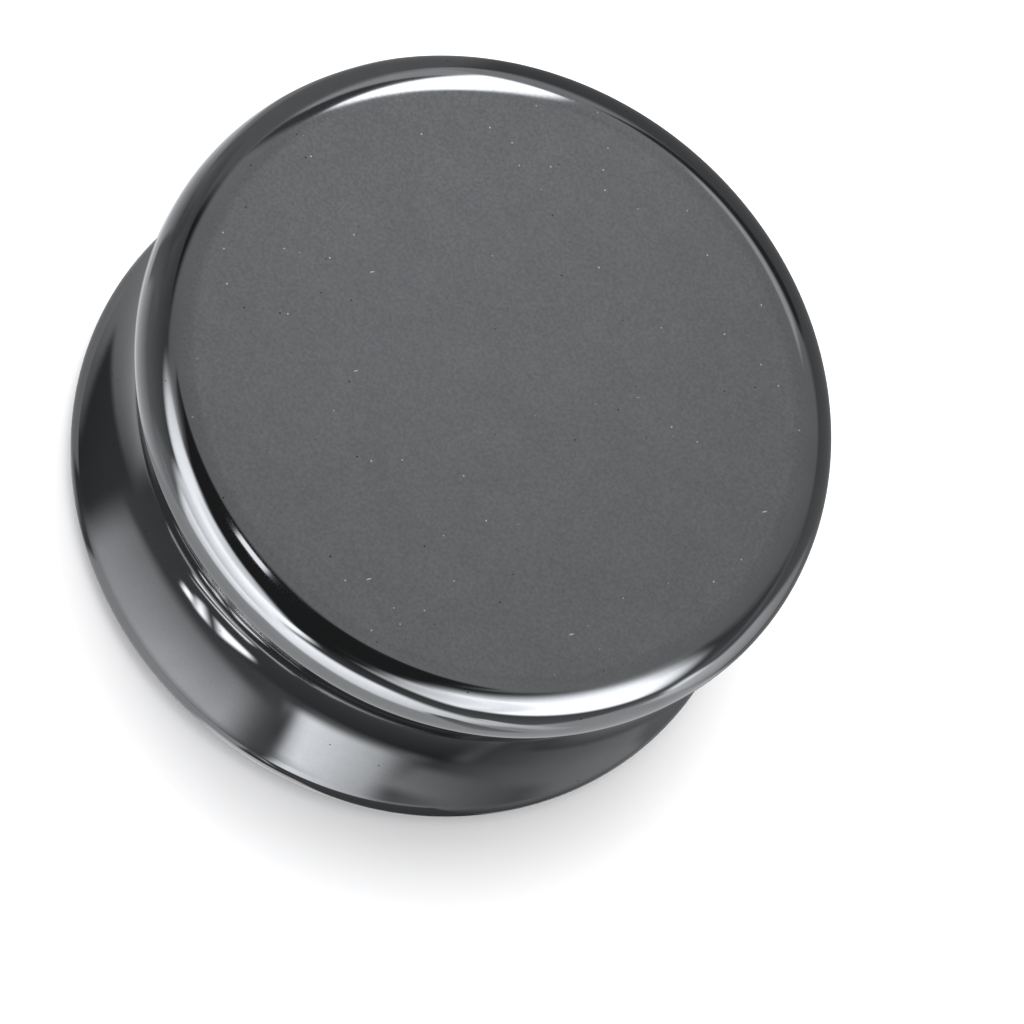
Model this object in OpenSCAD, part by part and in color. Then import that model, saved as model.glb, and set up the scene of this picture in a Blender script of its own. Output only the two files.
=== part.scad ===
// Double-flared saddle plug for a stretched ear lobe, turned and polished from one piece of stone.
// Millimetres. Z is the plug's axis, and the origin is the centre of the face that it rests on.

/* [Body] */
// Diameter at the waist, where the lobe sits, which is the plug's gauge
gauge_d = 25.4; // [12:0.1:40]
// Length from face to face
plug_l = 12; // [9:0.25:18]
// Height that each flare stands above the waist, on one side
flare_h = 1.3; // [0.6:0.05:1.8]

/* [Rim] */
// Radius of the rounded rim of each flare
rim_r = 1.2; // [0.8:0.05:1.8]
// Radius of the eased shoulder between the flat face and the rim
shoulder_r = 5; // [3:0.25:8]
// Angle that the shoulder turns through before the rim takes over, in degrees
shoulder_turn = 12; // [5:1:20]

/* [Hidden] */
// Sides of the drawn circles
round_sides = 240;
// The plug is the same on both sides of its mid plane
ENDS = [-1, 1];
// Distance that one arc is moved into the next where they meet, so that no sliver is left there
arc_bite = 0.002;

half_l = plug_l / 2;
flare_r = gauge_d / 2 + flare_h;
// The shoulder's arc runs smoothly from the flat face into the rim's arc, so their centres follow
rim_x = flare_r - rim_r;
rim_z = half_l - shoulder_r + (shoulder_r - rim_r) * cos(shoulder_turn);
shoulder_x = rim_x - (shoulder_r - rim_r) * sin(shoulder_turn) - arc_bite;
shoulder_z = half_l - shoulder_r;
// One arc makes the saddle: it passes through the waist and runs smoothly into both rims
saddle_r = (rim_z * rim_z + flare_h * flare_h) / (2 * flare_h) - rim_r + arc_bite;
saddle_x = gauge_d / 2 + saddle_r;

// One end's eased shoulder: the slice of its circle between the flat face and the rim
module shoulder_slice() {
    reach = 2 * shoulder_r;
    translate([shoulder_x, shoulder_z])
        intersection() {
            circle(r = shoulder_r, $fn = round_sides);
            polygon([
                [0, 0],
                [0, reach],
                [reach * sin(shoulder_turn), reach * cos(shoulder_turn)]
            ]);
        }
}

// Half of the plug's section, from the axis outwards, with its mid plane at z = 0
module half_section() {
    difference() {
        union() {
            translate([0, -half_l])
                square([shoulder_x, plug_l]);
            translate([0, -rim_z])
                square([rim_x, 2 * rim_z]);
            // Two sides of this triangle cross the points where the saddle's arc meets the rims
            polygon([
                [rim_x, -rim_z],
                [saddle_x, 0],
                [rim_x, rim_z]
            ]);
            for (end = ENDS)
                scale([1, end]) {
                    shoulder_slice();
                    translate([rim_x, rim_z])
                        circle(r = rim_r, $fn = round_sides);
                }
        }
        translate([saddle_x, 0])
            circle(r = saddle_r, $fn = round_sides);
    }
}

// The whole plug, which is one solid, standing on one of its two faces
module saddle_plug() {
    color([0.39, 0.39, 0.40])
        translate([0, 0, half_l])
            rotate_extrude($fn = round_sides)
                half_section();
}

saddle_plug();
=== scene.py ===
# %% [markdown]
# # A mirror-polished stone ear plug
#
# The object is a double-flared ear plug: a short spool that a stretched ear lobe closes round. It is ground
# and polished from one piece of hematite, a heavy iron ore that takes a polish like dark chrome. There is
# nothing to assemble here, so the whole likeness lies in two things: a shape that is smooth enough to act
# as a mirror, and a studio that is worth mirroring.
#
# The CAD model gives the true sizes. This script lathes the same shape finely enough for clean reflections,
# gives it the finish of polished stone, lays it on a pale table and puts soft lights round it.

# %% Load the CAD model
import math

import bmesh
import bpy
from mathutils import Matrix, Vector


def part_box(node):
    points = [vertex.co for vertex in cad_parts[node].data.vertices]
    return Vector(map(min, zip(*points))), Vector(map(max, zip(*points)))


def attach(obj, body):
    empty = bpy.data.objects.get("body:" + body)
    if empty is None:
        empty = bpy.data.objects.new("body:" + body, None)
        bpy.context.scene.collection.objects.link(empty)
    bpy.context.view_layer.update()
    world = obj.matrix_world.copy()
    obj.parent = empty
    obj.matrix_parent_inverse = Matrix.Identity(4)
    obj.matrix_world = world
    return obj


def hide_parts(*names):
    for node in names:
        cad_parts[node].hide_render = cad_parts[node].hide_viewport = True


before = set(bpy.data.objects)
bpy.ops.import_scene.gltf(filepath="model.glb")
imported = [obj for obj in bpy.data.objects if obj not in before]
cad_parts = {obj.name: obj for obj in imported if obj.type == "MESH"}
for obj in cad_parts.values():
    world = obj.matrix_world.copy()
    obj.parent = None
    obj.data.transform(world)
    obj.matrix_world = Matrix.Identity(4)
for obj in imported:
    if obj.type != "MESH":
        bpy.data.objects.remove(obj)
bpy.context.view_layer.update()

PLUG_NODE = "saddle_plug"

# %% [markdown]
# ## Units and sizes
#
# Blender works in metres, while a jeweller works in millimetres, so every size below is written in
# millimetres and multiplied by one named unit. The outer sizes are read from the CAD node. The others are
# the radii that the maker would set on the lathe.

# %% Sizes of the plug
MM = 0.001

low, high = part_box(PLUG_NODE)
LENGTH = high.z - low.z
FLARE_RADIUS = high.x
GAUGE = 25.4 * MM
RIM_RADIUS = 1.2 * MM
SHOULDER_RADIUS = 5 * MM
SHOULDER_TURN = math.radians(12)
CENTRE = Vector((0, 0, LENGTH / 2))
print(f"plug {2000 * FLARE_RADIUS:.2f} mm over the flares, {1000 * LENGTH:.2f} mm long")

# %% [markdown]
# ## The camera
#
# The plug lies on its face, and the picture looks down at it at a slant, with a long lens, so that the two
# rims come out as nearly true ellipses. The camera is also rolled, which makes the plug seem to tumble. A
# camera can be aimed with a constraint or with angles. Here its three axes are built from the slant and the
# roll, because the studio lights are set round the line of sight later, and they need the same axes.

# %% Camera
VIEW_SLANT = math.radians(28.4)
VIEW_TURN = math.radians(41.8)
VIEW_DISTANCE = 239 * MM
LENS = 215.5
SENSOR = 36
NEAREST_SEEN = 10 * MM
# Where the plug's centre lies to the right of the picture's centre, and above it
CENTRE_RIGHT = -2.4 * MM
CENTRE_ABOVE = 2.97 * MM

slant = Matrix.Rotation(VIEW_SLANT, 3, "X")
turn = Matrix.Rotation(VIEW_TURN, 3, "Z")
VIEW_AXES = slant @ turn
to_camera = VIEW_AXES @ Vector((-CENTRE_RIGHT, -CENTRE_ABOVE, VIEW_DISTANCE))

camera_data = bpy.data.cameras.new("camera")
camera_data.lens = LENS
camera_data.sensor_width = SENSOR
camera_data.clip_start = NEAREST_SEEN
camera = bpy.data.objects.new("camera", camera_data)
camera.matrix_world = Matrix.Translation(CENTRE + to_camera) @ VIEW_AXES.to_4x4()
bpy.context.scene.collection.objects.link(camera)
bpy.context.scene.camera = camera
print("camera stands at", [round(1000 * x, 1) for x in camera.location], "mm")

# %% [markdown]
# ## The plug's shape
#
# On the real plug each curve runs smoothly into the next: flat face, eased shoulder, rounded rim, hollow
# saddle, and the same again on the other side. The shape could be a subdivided cylinder pulled in at the
# waist, but a mirror shows every dent of such a mesh. It could also be the CAD mesh, but that is made of
# long thin triangles.
#
# So the script does what the lathe does. A single point is swung round one centre after another, which
# draws the section as exact arcs. Then the section is spun once round the plug's axis.

# %% Section helpers
def travel(bm, point, step):
    """Draws a straight edge from a point and returns the edge's far end."""
    made = bmesh.ops.extrude_vert_indiv(bm, verts=[point])
    bmesh.ops.translate(bm, verts=made["verts"], vec=step)
    return made["verts"][0]


def swing(bm, point, centre, angle, steps):
    """Draws an arc from a point round a centre and returns the arc's far end."""
    made = bmesh.ops.spin(
        bm, geom=[point], cent=centre, axis=(0, 1, 0), angle=angle, steps=steps, use_duplicate=False
    )
    return next(part for part in made["geom_last"] if isinstance(part, bmesh.types.BMVert))


# %% Where the arcs have their centres
# Distances out from the axis end in _x, and heights over the plug's middle end in _up
rim_x = FLARE_RADIUS - RIM_RADIUS
rim_up = LENGTH / 2 - SHOULDER_RADIUS + (SHOULDER_RADIUS - RIM_RADIUS) * math.cos(SHOULDER_TURN)
shoulder_x = rim_x - (SHOULDER_RADIUS - RIM_RADIUS) * math.sin(SHOULDER_TURN)
shoulder_up = LENGTH / 2 - SHOULDER_RADIUS
flare = FLARE_RADIUS - GAUGE / 2
saddle_radius = (rim_up ** 2 + flare ** 2) / (2 * flare) - RIM_RADIUS
saddle_x = GAUGE / 2 + saddle_radius
saddle_turn = math.asin(rim_up / (saddle_radius + RIM_RADIUS))
rim_turn = math.pi / 2 + saddle_turn - SHOULDER_TURN
print(f"saddle arc {1000 * saddle_radius:.2f} mm in radius, {2 * math.degrees(saddle_turn):.1f} degrees long")

# %% Section of the plug
# Steps of one to two degrees keep each reflected line smooth
SHOULDER_STEPS = 12
RIM_STEPS = 60
SADDLE_STEPS = 36
# The last ring of the flat lies close to the shoulder, so that the flat stays flat up to its edge
FLAT_MARGIN = 0.04 * MM

bm = bmesh.new()
point = bm.verts.new((0, 0, LENGTH))
point = travel(bm, point, (shoulder_x - FLAT_MARGIN, 0, 0))
point = travel(bm, point, (FLAT_MARGIN, 0, 0))
point = swing(bm, point, (shoulder_x, 0, CENTRE.z + shoulder_up), SHOULDER_TURN, SHOULDER_STEPS)
point = swing(bm, point, (rim_x, 0, CENTRE.z + rim_up), rim_turn, RIM_STEPS)
point = swing(bm, point, (saddle_x, 0, CENTRE.z), -2 * saddle_turn, SADDLE_STEPS)
point = swing(bm, point, (rim_x, 0, CENTRE.z - rim_up), rim_turn, RIM_STEPS)
point = swing(bm, point, (shoulder_x, 0, CENTRE.z - shoulder_up), SHOULDER_TURN, SHOULDER_STEPS)
point = travel(bm, point, (-FLAT_MARGIN, 0, 0))
point = travel(bm, point, (FLAT_MARGIN - shoulder_x, 0, 0))
print("section ends at", [round(1000 * x, 4) for x in point.co], "mm")

# %% Full turn of the section
TURN_STEPS = 288
MERGE = 0.001 * MM

bmesh.ops.spin(
    bm, geom=bm.verts[:] + bm.edges[:], cent=(0, 0, 0), axis=(0, 0, 1), angle=2 * math.pi,
    steps=TURN_STEPS, use_merge=True, use_duplicate=False
)
bmesh.ops.remove_doubles(bm, verts=bm.verts, dist=MERGE)
bmesh.ops.recalc_face_normals(bm, faces=bm.faces)
for face in bm.faces:
    face.smooth = True

plug_mesh = bpy.data.meshes.new("polished_plug")
bm.to_mesh(plug_mesh)
print(f"plug mesh {len(bm.faces)} faces, volume {bm.calc_volume() / MM ** 3:.1f} cubic mm")
print("open edges", sum(1 for edge in bm.edges if not edge.is_manifold))
bm.free()

plug = bpy.data.objects.new("polished_plug", plug_mesh)
bpy.context.scene.collection.objects.link(plug)
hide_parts(PLUG_NODE)
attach(plug, "root")

# %% [markdown]
# ## Colours and nodes
#
# Colours are written as the hex values that a paint chart or a photo editor gives. Those are sRGB values,
# and the shaders want linear light, so one function turns them. One more function adds a node, sets it and
# links it, which keeps each material short enough to read as a recipe.

# %% Colour and node helpers
def linear(hex_colour):
    """Turns an sRGB hex colour into the linear RGBA that shaders use."""
    channels = [int(hex_colour[i:i + 2], 16) / 255 for i in (1, 3, 5)]
    lit = [c / 12.92 if c <= 0.04045 else ((c + 0.055) / 1.055) ** 2.4 for c in channels]
    return (*lit, 1.0)


def add(material, kind, inputs=None, **settings):
    """Adds a node. An input is a value or another node's output, and a setting is one of the node's choices."""
    tree = material.node_tree
    node = tree.nodes.new(kind)
    for name, value in settings.items():
        setattr(node, name, value)
    for name, value in (inputs or {}).items():
        if isinstance(value, bpy.types.NodeSocket):
            tree.links.new(value, node.inputs[name])
        else:
            node.inputs[name].default_value = value
    return node


def empty_material(name):
    """Makes a material that holds no nodes yet."""
    material = bpy.data.materials.new(name)
    material.use_nodes = True
    material.node_tree.nodes.clear()
    return material


# %% [markdown]
# ## Polished hematite
#
# Hematite is an iron oxide. Ground flat and polished with ever finer grit, it turns a neutral steel grey
# and reflects a quarter of the light that meets it, rising to all of it at a grazing angle. A metallic
# shader with a mid grey base behaves the same way. Under a strong lamp the face also shows what the polish
# could not close: a faint cloudy grain, tiny dark pits, and short bright hairlines that all run the way the
# last wheel ran.
#
# A painted image could carry these marks, but it blurs close up and shows its seams. Here each pattern is
# worked out in millimetres on the piece's own coordinates, so that it stays on the stone and looks sharp
# from any side.

# %% Cloud, grain and wave of the stone
CLOUD_SIZE = 1.6 * MM
# The ore's own grains are finer, and are drawn this coarse so that they show
GRAIN_SIZE = 0.13 * MM
# Hand-held on the wheel, a piece is never polished quite flat
POLISH_WAVE_SIZE = 7 * MM

stone = empty_material("polished_hematite")
on_stone = add(stone, "ShaderNodeTexCoord").outputs["Object"]
cloud = add(stone, "ShaderNodeTexNoise", {"Vector": on_stone, "Scale": 1 / CLOUD_SIZE, "Detail": 4.0})
grain = add(stone, "ShaderNodeTexNoise", {"Vector": on_stone, "Scale": 1 / GRAIN_SIZE, "Detail": 2.0})
wave = add(stone, "ShaderNodeTexNoise", {"Vector": on_stone, "Scale": 1 / POLISH_WAVE_SIZE, "Detail": 0.0})
print("patterns of", [round(1000 * size, 2) for size in (CLOUD_SIZE, GRAIN_SIZE, POLISH_WAVE_SIZE)], "mm")

# %% [markdown]
# ### Pits, specks and hairlines
#
# All three are small spots a long way apart. A Voronoi pattern has one centre in each of its cells, and a
# spot is whatever lies close enough to a centre. Stretched along one direction, the spots become hairlines.
# Real ones are a hundredth of a millimetre wide. These are a few hundredths, because finer ones would fall
# between the pixels.

# %% Small marks of the stone
PIT_SPACING = 0.9 * MM
PIT_RADIUS = 0.045 * MM
SPECK_SPACING = 0.8 * MM
SPECK_RADIUS = 0.045 * MM
# The specks are shifted, so that they don't share the pits' cells
SPECK_SHIFT = (9 * MM, 5 * MM, 3 * MM)
HAIRLINE_SPACING = 0.9 * MM
HAIRLINE_RADIUS = 0.034 * MM
HAIRLINE_STRETCH = 4.0
HAIRLINE_ANGLE = math.radians(58)
# Share of a spot's radius inside which it has its full strength
SPOT_CORE = 0.5


def spots(material, vector, spacing, radius):
    """Marks small separate spots: 1 inside them, 0 elsewhere."""
    cells = add(material, "ShaderNodeTexVoronoi", {"Vector": vector, "Scale": 1 / spacing})
    inside = add(
        material, "ShaderNodeMapRange",
        {
            "Value": cells.outputs["Distance"], "From Min": SPOT_CORE * radius / spacing,
            "From Max": radius / spacing, "To Min": 1.0, "To Max": 0.0
        },
        interpolation_type="SMOOTHSTEP"
    )
    return inside.outputs["Result"]


wheel = add(
    stone, "ShaderNodeMapping",
    {"Vector": on_stone, "Rotation": (0, 0, HAIRLINE_ANGLE), "Scale": (HAIRLINE_STRETCH, 1, 1)},
    vector_type="TEXTURE"
)
shifted = add(stone, "ShaderNodeMapping", {"Vector": on_stone, "Location": SPECK_SHIFT})
pits = spots(stone, on_stone, PIT_SPACING, PIT_RADIUS)
specks = spots(stone, shifted.outputs["Vector"], SPECK_SPACING, SPECK_RADIUS)
hairlines = spots(stone, wheel.outputs["Vector"], HAIRLINE_SPACING, HAIRLINE_RADIUS)
print("marks about", round(1000 * PIT_SPACING, 1), "mm apart")

# %% [markdown]
# ### Where the marks lie
#
# The lap that grinds the two faces leaves its marks on them. The buffing wheel then takes most of these off
# the curved parts, which it reaches better. So a mask tells the faces from the rest, by the distance to the
# plug's middle. It could be painted on the mesh, but four nodes that read the height do it too.

# %% Face mask
FACE_FADE = 0.05 * MM
GRAIN_ON_CURVES = 0.2

sides = add(stone, "ShaderNodeSeparateXYZ", {"Vector": on_stone})
height = add(stone, "ShaderNodeMath", {0: sides.outputs["Z"], 1: LENGTH / 2}, operation="SUBTRACT")
off_middle = add(stone, "ShaderNodeMath", {0: height.outputs[0]}, operation="ABSOLUTE")
on_face = add(
    stone, "ShaderNodeMapRange",
    {"Value": off_middle.outputs[0], "From Min": LENGTH / 2 - FACE_FADE, "From Max": LENGTH / 2}
)
grain_share = add(
    stone, "ShaderNodeMath", {0: on_face.outputs["Result"], 1: 1 - GRAIN_ON_CURVES, 2: GRAIN_ON_CURVES},
    operation="MULTIPLY_ADD"
)
print("grain on the curves at", GRAIN_ON_CURVES, "of its strength on the faces")

# %% Colour of the stone
STONE_DARK = linear("#86888b")
STONE_LIGHT = linear("#919396")
PIT_DARK = linear("#303032")
MARK_BRIGHT = linear("#f2f2f4")
# How much darker or lighter a grain is than the stone round it
FLECK = 0.165

tone = add(
    stone, "ShaderNodeMix", {"Factor": cloud.outputs["Fac"], 6: STONE_DARK, 7: STONE_LIGHT}, data_type="RGBA"
)
fleck = add(
    stone, "ShaderNodeMapRange",
    {
        "Value": grain.outputs["Fac"], "From Min": 0.2, "From Max": 0.8,
        "To Min": 1 - FLECK, "To Max": 1 + FLECK
    }
)
grained = add(
    stone, "ShaderNodeMix",
    {"Factor": grain_share.outputs[0], 6: tone.outputs[2], 7: fleck.outputs["Result"]},
    data_type="RGBA", blend_type="MULTIPLY"
)
pitted = add(stone, "ShaderNodeMix", {"Factor": pits, 6: grained.outputs[2], 7: PIT_DARK}, data_type="RGBA")
marks = add(stone, "ShaderNodeMath", {0: specks, 1: hairlines}, operation="MAXIMUM")
face_marks = add(
    stone, "ShaderNodeMath", {0: marks.outputs[0], 1: on_face.outputs["Result"]}, operation="MULTIPLY"
)
marked = add(
    stone, "ShaderNodeMix", {"Factor": face_marks.outputs[0], 6: pitted.outputs[2], 7: MARK_BRIGHT},
    data_type="RGBA"
)
print("stone tone from", [round(c, 2) for c in STONE_DARK[:3]], "to", [round(c, 2) for c in STONE_LIGHT[:3]])

# %% Polish of the stone
# A roughness near nothing gives the mirror, and the cloud lets the polish come and go a little
SMOOTHEST = 0.04
ROUGHEST = 0.06
POLISH_WAVE_DEPTH = 0.004 * MM

polish = add(
    stone, "ShaderNodeMapRange",
    {"Value": cloud.outputs["Fac"], "From Min": 0.3, "From Max": 0.7, "To Min": SMOOTHEST, "To Max": ROUGHEST}
)
surface = add(
    stone, "ShaderNodeBump", {"Height": wave.outputs["Fac"], "Distance": POLISH_WAVE_DEPTH, "Strength": 1.0}
)
shader = add(
    stone, "ShaderNodeBsdfPrincipled",
    {
        "Base Color": marked.outputs[2], "Metallic": 1.0, "Roughness": polish.outputs["Result"],
        "Normal": surface.outputs["Normal"]
    }
)
add(stone, "ShaderNodeOutputMaterial", {"Surface": shader.outputs["BSDF"]})
plug.data.materials.append(stone)
print("plug wears", stone.name, "of", len(stone.node_tree.nodes), "nodes")

# %% [markdown]
# ## The table
#
# The plug lies on a plain pale table that is wide enough to fill the picture from any side. A polished
# stone mirrors its table, and a white one would drown the streaks in the waist. Product photographers hide
# it with dark cloth that stops just outside the picture. Here the table is simply not shown to mirror rays.

# %% Table
# In metres, as a tabletop is measured
TABLE_WIDTH = 4.0
TABLE_SIDES = 96

bm = bmesh.new()
bmesh.ops.create_circle(bm, cap_ends=True, segments=TABLE_SIDES, radius=TABLE_WIDTH / 2)
table_mesh = bpy.data.meshes.new("table")
bm.to_mesh(table_mesh)
bm.free()
table = bpy.data.objects.new("table", table_mesh)
bpy.context.scene.collection.objects.link(table)
table.visible_glossy = False

# Matt laminate scatters light evenly and has no gloss of its own
matt_white = empty_material("matt_white_laminate")
laminate = add(
    matt_white, "ShaderNodeBsdfPrincipled",
    {"Base Color": linear("#f4f4f5"), "Roughness": 0.9, "Specular IOR Level": 0.0}
)
add(matt_white, "ShaderNodeOutputMaterial", {"Surface": laminate.outputs["BSDF"]})
table_mesh.materials.append(matt_white)
print("table", TABLE_WIDTH, "m wide")

# %% [markdown]
# ## Light on the table
#
# The table needs only an even, bright light with one soft shadow. The sky colour gives the even part, and
# one wide area light gives the shadow. It stands above the plug and towards the top of the picture, so that
# the shadow falls towards the bottom. Neither shows in the stone: what the stone mirrors is set up by
# itself.

# %% Sky and overhead light
SKY_STRENGTH = 1.15
# To the right, towards the top of the picture, and up
OVERHEAD_PLACE = (0, 260 * MM, 560 * MM)
OVERHEAD_SIZE = 500 * MM
OVERHEAD_WATTS = 3.2

sky = bpy.data.worlds.new("sky")
sky.use_nodes = True
sky.node_tree.nodes["Background"].inputs["Color"].default_value = linear("#ffffff")
sky.node_tree.nodes["Background"].inputs["Strength"].default_value = SKY_STRENGTH
bpy.context.scene.world = sky
sky.cycles_visibility.glossy = False
# The picture shows the light as it falls, with no film curve that would grey the whites
bpy.context.scene.view_settings.view_transform = "Standard"

overhead_data = bpy.data.lights.new("overhead", "AREA")
overhead_data.size = OVERHEAD_SIZE
overhead_data.energy = OVERHEAD_WATTS
overhead = bpy.data.objects.new("overhead", overhead_data)
overhead.location = turn @ Vector(OVERHEAD_PLACE)
overhead.rotation_euler = overhead.location.to_track_quat("Z", "Y").to_euler()
overhead.visible_glossy = False
bpy.context.scene.collection.objects.link(overhead)
print("overhead light stands at", [round(1000 * x) for x in overhead.location], "mm")

# %% [markdown]
# ## What the stone mirrors
#
# A mirror has no look of its own. Its bright bands are softboxes, its black bands are the dark room between
# them, and its greys are cards. So the studio is a tent of glowing cards round the plug, and each card is
# one patch of it.
#
# The cards could be area lights, but those have hard edges and one brightness each. A bent sheet with its
# own glow can fade at its edges, as the cloth of a softbox does. Each card is placed round the line of
# sight, like a figure on a clock face: its clock angle runs clockwise from the top of the picture, and its
# second angle says how far it stands off the line of sight, from 0 at the lens to 180 behind the plug. Only
# mirror rays see the cards.

# %% Directions and places in the tent
TENT_RADIUS = 600 * MM
CARD_STEP = 1.5 * MM


def towards(clock, off_axis):
    """The direction at a clock angle round the line of sight and an angle off it, both in degrees."""
    c, a = math.radians(clock), math.radians(off_axis)
    return VIEW_AXES @ Vector((math.sin(a) * math.sin(c), math.sin(a) * math.cos(c), math.cos(a)))


def in_the_tent(clock, off_axis, layer):
    """A place on the tent. Each later layer hangs a little nearer to the plug."""
    return CENTRE + towards(clock, off_axis) * (TENT_RADIUS - layer * CARD_STEP)


# %% Blends across a card
def blend(start, end, share):
    """The value at a share of the way from start to end."""
    return start + (end - start) * share


def ease(distance, width):
    """Rises smoothly from 0 at an edge to 1 at the given width inside it."""
    share = min(max(distance / width, 0), 1) if width > 0 else 1
    return share * share * (3 - 2 * share)


def spread(corners, across, along):
    """Blends the values at a card's four corners: near first, near last, far last, far first."""
    near_first, near_last, far_last, far_first = corners
    return blend(blend(near_first, near_last, across), blend(far_first, far_last, across), along)


# %% Glowing cloth of the cards
# Softbox cloth glows evenly to all sides. Towards a card's edge it gives way to clear air
glowing_cloth = empty_material("glowing_cloth")
glow_here = add(glowing_cloth, "ShaderNodeAttribute", attribute_name="glow")
cover_here = add(glowing_cloth, "ShaderNodeAttribute", attribute_name="cover")
lamp = add(glowing_cloth, "ShaderNodeEmission", {"Strength": glow_here.outputs["Fac"]})
gap = add(glowing_cloth, "ShaderNodeBsdfTransparent")
cloth = add(
    glowing_cloth, "ShaderNodeMixShader",
    {0: cover_here.outputs["Fac"], 1: gap.outputs[0], 2: lamp.outputs[0]}
)
add(glowing_cloth, "ShaderNodeOutputMaterial", {"Surface": cloth.outputs[0]})
glowing_cloth.cycles.emission_sampling = "NONE"
print("cards are of", glowing_cloth.name)

# %% Card maker
CARD_GRID = 60
BLIND_RAYS = ("camera", "diffuse", "transmission", "volume_scatter", "shadow")


def card(place, layer, name, clocks, off_axes, glow, soft):
    """
    Bends a sheet to its place, which a function of clock angle, second angle and layer gives.

    The corners go round the sheet, from the two that lie nearer the lens to the two that lie further off it.
    glow is the brightness, as one number or one for each corner, and soft is the width in degrees over which
    the edges fade. Later layers hang in front of earlier ones. A sheet that runs all the way round has no sides
    to fade.
    """
    corner_glow = glow if isinstance(glow, tuple) else (glow, glow, glow, glow)
    closed = clocks[1] - clocks[0] == 360
    bm = bmesh.new()
    bmesh.ops.create_grid(bm, x_segments=CARD_GRID, y_segments=CARD_GRID, size=0.5)
    shine = bm.verts.layers.float.new("glow")
    cover = bm.verts.layers.float.new("cover")
    for vert in bm.verts:
        across, along = vert.co.x + 0.5, vert.co.y + 0.5
        clock, off_axis = spread(clocks, across, along), spread(off_axes, across, along)
        wide = (spread(clocks, 1, along) - spread(clocks, 0, along)) * math.sin(math.radians(off_axis))
        high = spread(off_axes, across, 1) - spread(off_axes, across, 0)
        fade = ease((1 - along) * high, soft)
        if not closed:
            fade *= ease(along * high, soft) * ease(across * wide, soft) * ease((1 - across) * wide, soft)
        vert[shine] = spread(corner_glow, across, along)
        vert[cover] = fade
        vert.co = place(clock, off_axis, layer)
    mesh = bpy.data.meshes.new(name)
    bm.to_mesh(mesh)
    bm.free()
    mesh.materials.append(glowing_cloth)
    sheet = bpy.data.objects.new(name, mesh)
    bpy.context.scene.collection.objects.link(sheet)
    for kind in BLIND_RAYS:
        setattr(sheet, "visible_" + kind, False)
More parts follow.
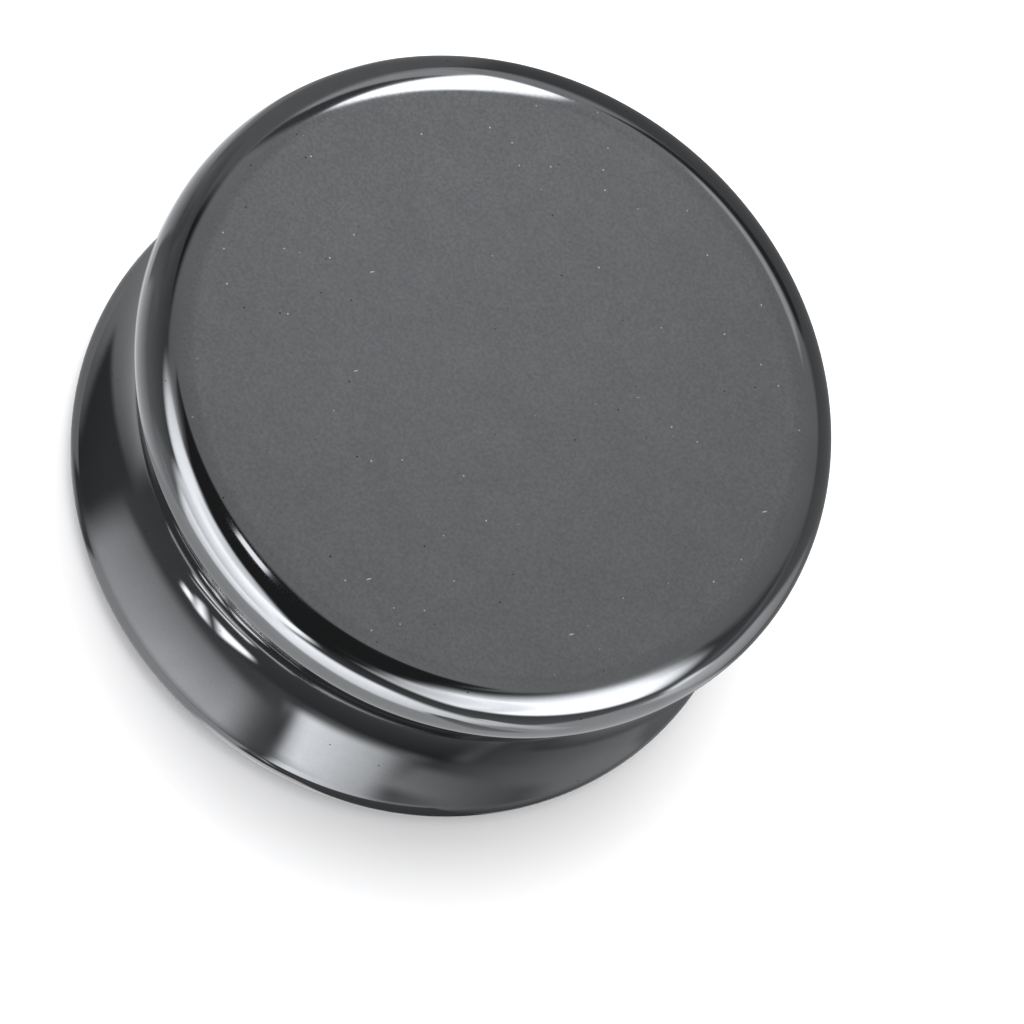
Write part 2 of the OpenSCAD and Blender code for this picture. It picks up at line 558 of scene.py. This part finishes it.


# %% [markdown]
# ## The cards of the tent
#
# The tent is hung from back to front: first the grey room, then the wide greys, then the softboxes and the
# small lights. The names say where on the stone a card shows. The slit is the thin bright line between face
# and rim, and the windows and slats are the small bright panes under the rim.
#
# The cards were laid out and named, one for each streak or patch. Most of the numbers in the tables were
# then found by a separate fitting program, which moved the corners and glows until the reflections were
# close to the photograph's, and they were rounded. So they are a fit, and not values that a maker would
# choose.

# %% Cards of the tent, from back to front
ALL_ROUND = (0, 360, 360, 0)
CARDS = [
    # name, clock angles, angles off the line of sight, glow, soft width
    ("tent", ALL_ROUND, (0, 0, 180, 180), 0.28, 0),
    ("lens_side", ALL_ROUND, (0, 0, 62, 62), 0.04, 6),
    ("top_right_dark", (22, 106, 110, 0), (78, 75, 165, 165), (0.14, 0.22, 0.29, 0.19), 5),
    ("left_grey", (262, 377, 350, 290), (39, 40, 90, 100), (0.21, 0.11, 0.28, 0.41), 3),
    ("left_streak", (317, 352, 345, 296), (74, 59, 90, 122), (0.13, 0.12, 0.42, 0.36), 7),
    ("left_back", (260, 342, 372, 261), (119, 98, 180, 177), (0.02, 0.57, 0.26, 1), 7),
    ("low_back", (168, 263, 262, 168), (144, 142, 178, 178), (0.7, 0.4, 0.4, 0.7), 5),
    ("grey_card", (7, 57, 82, 22), (42, 37, 77, 83), (0.27, 0.54, 0.15, 0.73), 3.5),
    ("face_glow", (28, 50, 48, 31), (50, 50, 67, 67), (0.54, 0.47, 0.49, 0.63), 8),
    ("front_grey", (72, 288, 288, 72), (18, 18, 66, 66), 0.45, 14),
    ("lens_left", (5, 44, 44, 19), (28, 28, 38, 46), 0.04, 1),
    ("lens_right", (38, 60, 57, 38), (28, 28, 45.2, 38.5), 0.04, 1),
    ("right_spot", (107, 124, 135, 108), (72, 78, 105, 106), 2.5, 7.5),
    ("right_grey", (124, 169, 177, 127), (81, 80, 151, 151), (0.91, 0.13, 0.05, 0.21), 4.5),
    ("right_line", (40, 53, 52, 40), (72, 71, 77.5, 76.5), 0.95, 2),
    ("right_black", (34, 54, 54, 38), (74.5, 78, 84.5, 80), 0.06, 1.2),
    ("top_dark", (14, 28, 29, 23), (61, 61, 74, 73), 0.12, 2.5),
    ("top_line", (17, 20, 32, 24), (66, 65, 74, 79), 0.8, 1.5),
    ("top_box", (27, 37.6, 34.8, 28), (62.2, 59.8, 73.5, 75.5), 4.4, 1.4),
    ("slit", (29.5, 35.4, 36.9, 32.4), (35.5, 33.6, 38, 39.5), 3, 0.5),
    ("waist_shade", (203, 281, 309, 203), (59, 67, 125, 123), (0.3, 0.06, 0.07, 0.13), 5.5),
    ("waist_grey", (207, 285, 269, 210), (53, 60, 119, 101), (1.6, 1, 0.39, 0.4), 12),
    ("waist_right", (122, 183, 182, 121), (75, 75, 123, 124), (0.66, 0.19, 0.02, 0.57), 7),
    ("waist_arch", (142, 184, 183, 142), (84, 81, 111, 110), (0.02, 0.79, 0.32, 0.23), 8.5),
    ("waist_bright", (170, 204, 213, 180), (66, 64, 110, 116), (0.63, 3, 3, 0.55), 9),
    ("waist_line", (199, 210, 212, 207), (62, 61, 113, 114), (0.22, 0.2, 0.1, 0.02), 4.5),
    ("waist_dark", (171, 271, 268, 166), (113, 107, 145, 152), (0.03, 0.17, 0.07, 0.14), 6),
    ("waist_under", (118, 166, 166, 130), (130, 132, 151, 150), (0.17, 0.09, 0.02, 0.63), 5),
    ("window_a", (220, 232, 235, 221), (117, 110.5, 123.5, 123), 3.6, 3.5),
    ("window_b", (231.5, 240, 240.5, 235.5), (111, 111.5, 122, 126), 3.6, 3.5),
    ("window_c", (237.5, 244.5, 244, 238.5), (112.5, 114, 120.5, 120), 3.6, 2.5),
    ("slat_1", (224, 242, 244, 222), (130, 129, 131, 135), 2.2, 2),
    ("slat_2", (225, 242, 243, 225), (134, 133, 137, 139), 2.2, 2),
    ("slat_3", (224, 239, 238, 224), (136, 136, 139, 139), 2.6, 1.3),
]
for layer, row in enumerate(CARDS):
    card(in_the_tent, layer, *row)
print(len(CARDS), "cards hung")

# %% [markdown]
# ## The flares' own cards
#
# The front rim mirrors almost the whole tent, squeezed into a band one millimetre wide. The face and the
# waist mirror parts of the same tent, but they need other lights there: a softbox that makes the rim
# sparkle would bleach the face as soon as someone walks round the plug. A photographer would answer with
# small cards beside the part that needs them. These go further than a real card could: they stand within a
# millimetre, and no eye sees them.
#
# The rim's cards stand one millimetre off it. Each point of a card stands where the rim's mirror ray, as
# seen from this script's camera, passes on its way to the tent. The rows therefore read as the tent's rows
# do, and in that view the picture in the rim is the same as if the cards hung far away. From other sides it
# is only a likely one. The face and the waist look out past them. The lower flare has a few cards too. They
# stand only a quarter of a millimetre off, because the waist's steep rays pass just outside that flare.

# %% Places beside the flares
RIM_CARD_DISTANCE = 1.0 * MM
BASE_CARD_DISTANCE = 0.25 * MM
FLARE_CARD_STEP = 0.03 * MM
# The mirroring spot depends on the ray and the ray on the spot, so the two are found in turns
AIM_TURNS = 4


def beside_flare(side, distance, clock, off_axis):
    """A place close to the upper flare (side 1) or the lower one (side -1), on its mirror ray to the tent."""
    far = CENTRE + towards(clock, off_axis) * TENT_RADIUS
    spot = CENTRE
    for _ in range(AIM_TURNS):
        ray = (far - spot).normalized()
        upright = (ray + (camera.location - spot).normalized()).normalized()
        outward = Vector((upright.x, upright.y, 0)).normalized()
        if side > 0 and upright.z > math.cos(SHOULDER_TURN):
            spot = CENTRE + outward * shoulder_x + Vector((0, 0, shoulder_up)) + upright * SHOULDER_RADIUS
        else:
            spot = CENTRE + outward * rim_x + Vector((0, 0, side * rim_up)) + upright * RIM_RADIUS
    return spot + (far - spot).normalized() * distance


def by_the_rim(clock, off_axis, layer):
    """A place beside the front rim."""
    return beside_flare(1, RIM_CARD_DISTANCE - layer * FLARE_CARD_STEP, clock, off_axis)


def by_the_base(clock, off_axis, layer):
    """A place beside the lower flare."""
    return beside_flare(-1, BASE_CARD_DISTANCE - layer * FLARE_CARD_STEP, clock, off_axis)


# %% Cards beside the front rim
RIM_CARDS = [
    # name, clock angles, angles off the line of sight, glow, soft width
    ("rim_backing", (61, 285, 286, 66), (9, 10, 83, 74), (0.06, 0.04, 0.5, 0.13), 6),
    ("rim_low", (129, 274, 275, 129), (75, 74, 157, 158), (0.75, 0.88, 0.39, 0.94), 4.5),
    ("rim_left", (252, 337, 339, 263), (75, 79, 152, 155), (0.48, 0.09, 1.5, 1.3), 4.5),
    ("rim_dark", (318, 339, 308, 296), (60, 61, 117, 116), (0.31, 0.14, 0.26, 0.39), 4),
    ("rim_edge", (296, 354, 354, 296), (142, 148, 174, 172), (1.5, 2.2, 2.2, 1.5), 4),
    ("box_a_top", (222, 347, 374, 190), (3, 1, 34, 27), (1.1, 1.2, 3.6, 3.4), 8),
    ("box_a_middle", (186, 370, 384, 211), (12, 24, 46, 36), (4.3, 3.4, 1.3, 3.3), 8),
    ("box_a_low", (213, 308, 261, 216), (23, 31, 71, 71), (4.1, 2.4, 0.36, 1.4), 8),
    ("front_low", (172, 227, 241, 144), (34, 30, 77, 93), (3, 4, 2.5, 1), 12),
    ("front_low_b", (222, 278, 258, 226), (53, 48, 82, 81), (3.6, 2.8, 1.5, 1.7), 7.5),
    ("box_b_near", (74, 155, 149, 55), (17, 7, 42, 40), (0.9, 0.24, 3.9, 3.9), 8),
    ("box_b_far", (58, 150, 115, 60), (29, 35, 74, 55), (4, 4.1, 4, 3.6), 9),
    ("rim_right", (92, 135, 136, 92), (82, 82, 132, 132), (0.85, 1.9, 0.44, 0.4), 8),
    ("rim_glint", (158, 165, 163, 151), (61, 61, 108, 108), (2, 2, 0.78, 0.78), 3.5),
    ("rim_streak", (173, 184, 180, 164), (74, 74, 112, 112), (0.28, 0.26, 0.58, 0.46), 4),
]
for layer, row in enumerate(RIM_CARDS):
    card(by_the_rim, layer, *row)
print(len(RIM_CARDS), "cards stand by the rim")

# %% Cards beside the lower flare
BASE_CARDS = [
    # name, clock angles, angles off the line of sight, glow, soft width
    ("base_grey", (209, 262, 257, 220), (95, 97, 176, 176), (0.78, 0.69, 0.34, 0.44), 2.5),
    ("base_bright", (198, 224, 228, 190), (122, 122, 176, 176), (1, 1.2, 0.89, 0.84), 4),
    ("base_dark", (167, 209, 192, 172), (95, 93, 176, 176), (0.15, 0.17, 0.05, 0.02), 1.2),
    ("base_left", (279, 325, 310, 268), (97, 98, 176, 176), (0.41, 0.45, 0.29, 0.32), 4),
]
for layer, row in enumerate(BASE_CARDS):
    card(by_the_base, layer, *row)
print(len(BASE_CARDS), "cards stand by the base")
